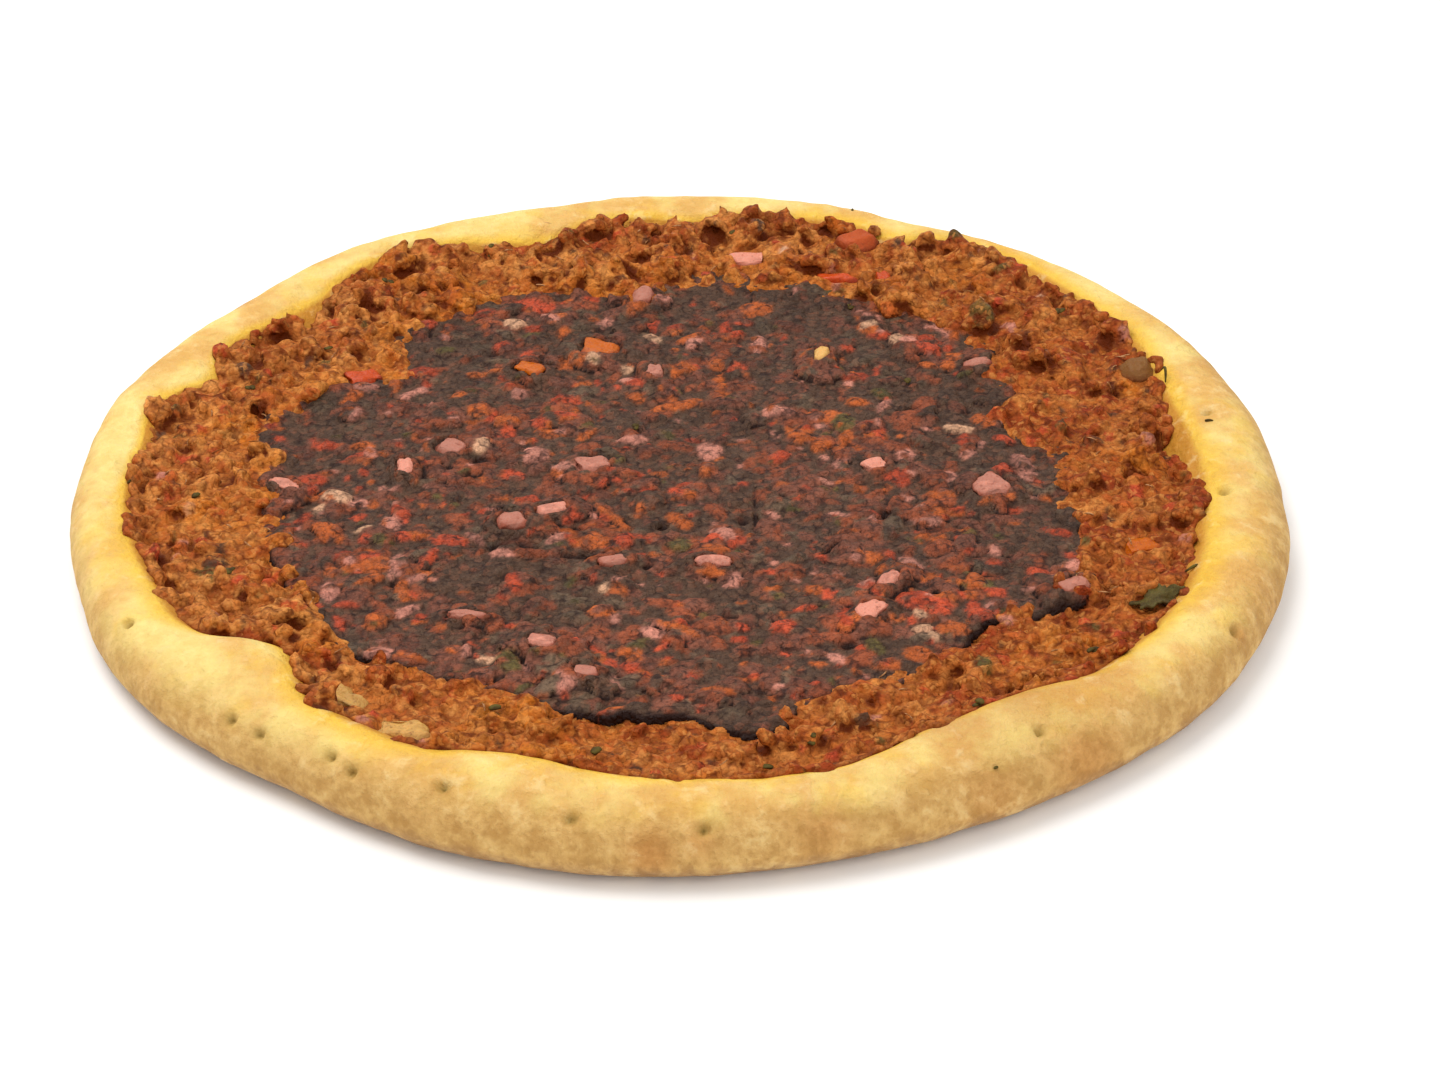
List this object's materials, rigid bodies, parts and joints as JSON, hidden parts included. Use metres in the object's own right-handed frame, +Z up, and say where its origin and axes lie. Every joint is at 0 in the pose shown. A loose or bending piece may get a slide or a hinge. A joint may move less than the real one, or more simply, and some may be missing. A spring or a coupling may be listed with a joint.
{
  "type": "open meat fatayer",
  "caption": "A baked round flatbread with a puffed golden rim, spread with crumbled spiced mince scorched dark in the middle, with bits of onion, pepper and tomato; served flat on a plate or board.",
  "frame": {"origin": "centre of the round on the surface that it lies on, under the flat underside", "axes": "+Z up through the bread, mince side up; -Y is the side nearest in the picture, +X to its right"},
  "size_m": [0.1981, 0.1997, 0.0123],
  "materials": {
    "crust": "soft baked dough, butter yellow on the crest, toasted ochre on the side, oiled deep yellow beside the mince",
    "mince": "crumbled browned mince with oily orange hollows, its middle scorched to a dry dark grey-brown sheet",
    "onion": "cooked diced onion, dusty pink and moist",
    "browned_onion": "fried onion, tan with brown edges",
    "orange_pepper": "roasted orange pepper, moist",
    "red_pepper": "roasted red pepper, moist",
    "tomato": "cooked tomato, soft and wrinkled",
    "green_pepper": "fried green pepper, olive brown",
    "seed": "toasted golden seed",
    "parsley": "dried dark green parsley leaf"
  },
  "bodies": {
    "root": {"bread": "crust", "mince": "mince", "onion_1": "onion", "onion_2": "onion", "onion_3": "onion", "onion_4": "onion", "onion_5": "onion", "onion_6": "onion", "onion_7": "onion", "onion_8": "onion", "onion_9": "onion", "onion_10": "onion", "onion_11": "onion", "onion_12": "onion", "onion_13": "onion", "onion_14": "onion", "onion_15": "onion", "onion_16": "onion", "onion_17": "onion", "onion_18": "onion", "onion_19": "onion", "onion_20": "onion", "browned_onion_1": "browned_onion", "browned_onion_2": "browned_onion", "orange_pepper_1": "orange_pepper", "orange_pepper_2": "orange_pepper", "orange_pepper_3": "orange_pepper", "red_pepper_1": "red_pepper", "red_pepper_2": "red_pepper", "red_pepper_3": "red_pepper", "tomato_1": "tomato", "green_pepper_1": "green_pepper", "seed_1": "seed", "parsley_leaf": "parsley"}
  },
  "joints": []
}
